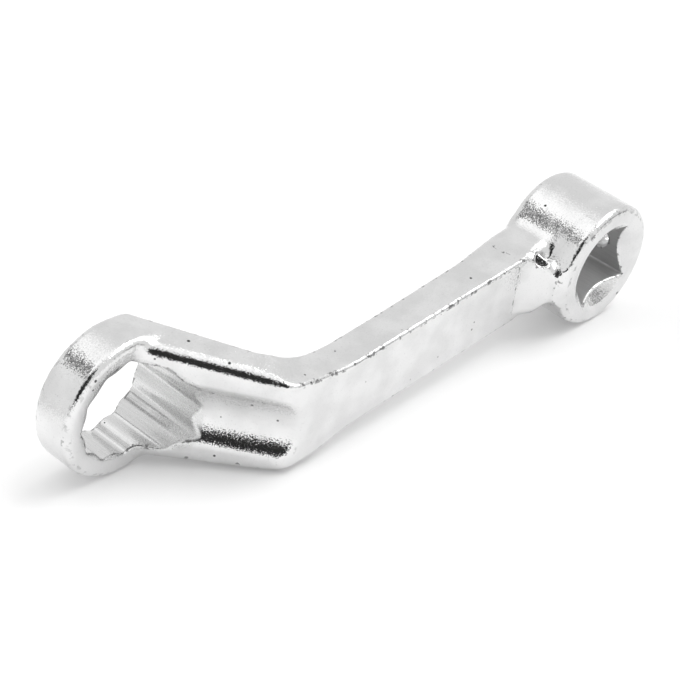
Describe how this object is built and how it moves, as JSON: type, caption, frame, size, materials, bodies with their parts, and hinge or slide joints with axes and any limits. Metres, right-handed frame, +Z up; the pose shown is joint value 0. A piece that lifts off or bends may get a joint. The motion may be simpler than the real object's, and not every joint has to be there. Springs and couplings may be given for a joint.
{
  "type": "camber adjustment wrench",
  "caption": "Plated steel wrench: a cranked arm with a fluted ring end, a flat shank and a short round socket with a square drive hole.",
  "frame": {"origin": "bottom centre of the bounding box, with the wrench lying on its side", "axes": "+X along the shank from the ring to the drive socket; +Y along both bores, away from the side the socket faces; +Z up, square to the mid-plane"},
  "size_m": [0.1268, 0.0364, 0.028],
  "materials": {
    "plated_forging": "bright plated over a forged skin",
    "plated_socket": "bright plated over a turned skin",
    "plated_weld": "bright plated over a dressed weld"
  },
  "bodies": {
    "root": {"ring_spanner_body": "plated_forging", "drive_socket": "plated_socket", "weld_neck": "plated_weld"}
  },
  "joints": []
}
